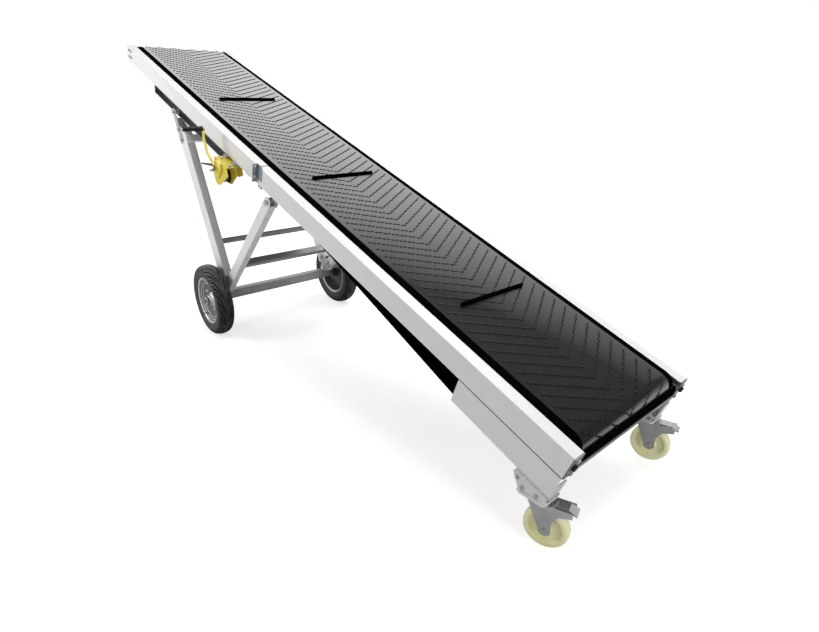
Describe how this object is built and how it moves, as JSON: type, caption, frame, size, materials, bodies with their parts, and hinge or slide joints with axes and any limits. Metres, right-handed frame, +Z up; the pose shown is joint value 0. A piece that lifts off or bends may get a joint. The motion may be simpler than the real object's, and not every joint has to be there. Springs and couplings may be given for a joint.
{
  "type": "portable belt conveyor",
  "caption": "Inclined portable belt conveyor: chevron belt between white rails, tail casters, folding two-wheeled undercarriage and a yellow hand winch.",
  "frame": {"origin": "on the ground, on the mid-plane, under the axle of the two road wheels", "axes": "+X level towards the high head end, +Y the winch side, +Z up"},
  "size_m": [3.7566, 1.0745, 1.7426],
  "materials": {
    "bed_sheet": "galvanised sheet",
    "belt_rubber": "moulded rubber, dull",
    "black_grip": "moulded plastic, dull",
    "caster_plastic": "pale yellow nylon, slightly glossy",
    "drum_steel": "turned steel",
    "frame_paint": "silver grey powder coat, satin",
    "galvanised": "zinc plated, dull",
    "rim_silver": "silver paint, satin",
    "tyre": "tyre rubber",
    "white_paint": "white powder coat, satin",
    "wire_rope": "wound steel wire rope, oiled",
    "yellow_paint": "yellow powder coat, glossy"
  },
  "bodies": {
    "bed": {"belt_loop": "belt_rubber", "caster_bracket_left": "galvanised", "caster_bracket_right": "galvanised", "caster_mounts": "galvanised", "cross_members": "bed_sheet", "guide_channel_left": "galvanised", "guide_channel_right": "galvanised", "head_bearings": "galvanised", "head_drum": "drum_steel", "pivot_lugs": "galvanised", "return_idler": "drum_steel", "side_bracket": "galvanised", "side_rail_left": "white_paint", "side_rail_right": "white_paint", "slider_bed": "bed_sheet", "snub_roller": "drum_steel", "tail_end_frame": "galvanised", "tail_panel_left": "white_paint", "tail_panel_right": "white_paint", "tail_pulley": "drum_steel", "tail_take_ups": "galvanised", "winch_bracket": "galvanised", "winch_cover": "yellow_paint", "winch_drum": "wire_rope", "winch_frame": "yellow_paint", "wing_knob": "galvanised"},
    "rear_frame": {"rear_leg_left": "frame_paint", "rear_leg_right": "frame_paint", "axle_beam": "frame_paint", "rear_crossbar": "frame_paint", "hinge_plates": "galvanised"},
    "strut_frame": {"front_leg_left": "frame_paint", "front_leg_right": "frame_paint", "top_cross_beam": "frame_paint", "strut_crossbar": "frame_paint", "guide_rollers": "galvanised"},
    "wheel_left": {"tyre_left": "tyre", "rim_left": "rim_silver"},
    "wheel_right": {"tyre_right": "tyre", "rim_right": "rim_silver"},
    "caster_fork_left": {"caster_fork_left": "galvanised"},
    "caster_fork_right": {"caster_fork_right": "galvanised"},
    "caster_wheel_left": {"caster_wheel_left": "caster_plastic"},
    "caster_wheel_right": {"caster_wheel_right": "caster_plastic"},
    "crank": {"crank_arm": "yellow_paint", "crank_grip": "black_grip"}
  },
  "joints": [
    {"name": "undercarriage_raise", "type": "hinge", "parent": "bed", "child": "rear_frame", "pos_m": [-0.73437, 0, 0.89867], "axis": [0, 1, 0], "range_deg": [-15, 14]},
    {"name": "strut_fold", "type": "hinge", "parent": "rear_frame", "child": "strut_frame", "pos_m": [-0.012, 0, 0.3515], "axis": [0, 1, 0], "range_deg": [-24, 26]},
    {"name": "wheel_spin_left", "type": "hinge", "parent": "rear_frame", "child": "wheel_left", "pos_m": [0, 0.453, 0.22], "axis": [0, 1, 0], "continuous": true},
    {"name": "caster_swivel_left", "type": "hinge", "parent": "bed", "child": "caster_fork_left", "pos_m": [-2.375, 0.347, 0.19], "axis": [0, 0, 1], "continuous": true},
    {"name": "caster_spin_left", "type": "hinge", "parent": "caster_fork_left", "child": "caster_wheel_left", "pos_m": [-2.41082, 0.33431, 0.075], "axis": [0.3338, -0.9426, 0], "continuous": true},
    {"name": "wheel_spin_right", "type": "hinge", "parent": "rear_frame", "child": "wheel_right", "pos_m": [0, -0.453, 0.22], "axis": [0, 1, 0], "continuous": true},
    {"name": "caster_swivel_right", "type": "hinge", "parent": "bed", "child": "caster_fork_right", "pos_m": [-2.375, -0.347, 0.19], "axis": [0, 0, 1], "continuous": true},
    {"name": "caster_spin_right", "type": "hinge", "parent": "caster_fork_right", "child": "caster_wheel_right", "pos_m": [-2.4117, -0.35684, 0.075], "axis": [0.2588, -0.9659, 0], "continuous": true},
    {"name": "crank_turn", "type": "hinge", "parent": "bed", "child": "crank", "pos_m": [-0.31389, 0.428, 1.03574], "axis": [0, 1, 0], "continuous": true}
  ],
  "couplings": [
    {"joint": "strut_fold", "follows": "undercarriage_raise", "ratio": -1.689}
  ]
}
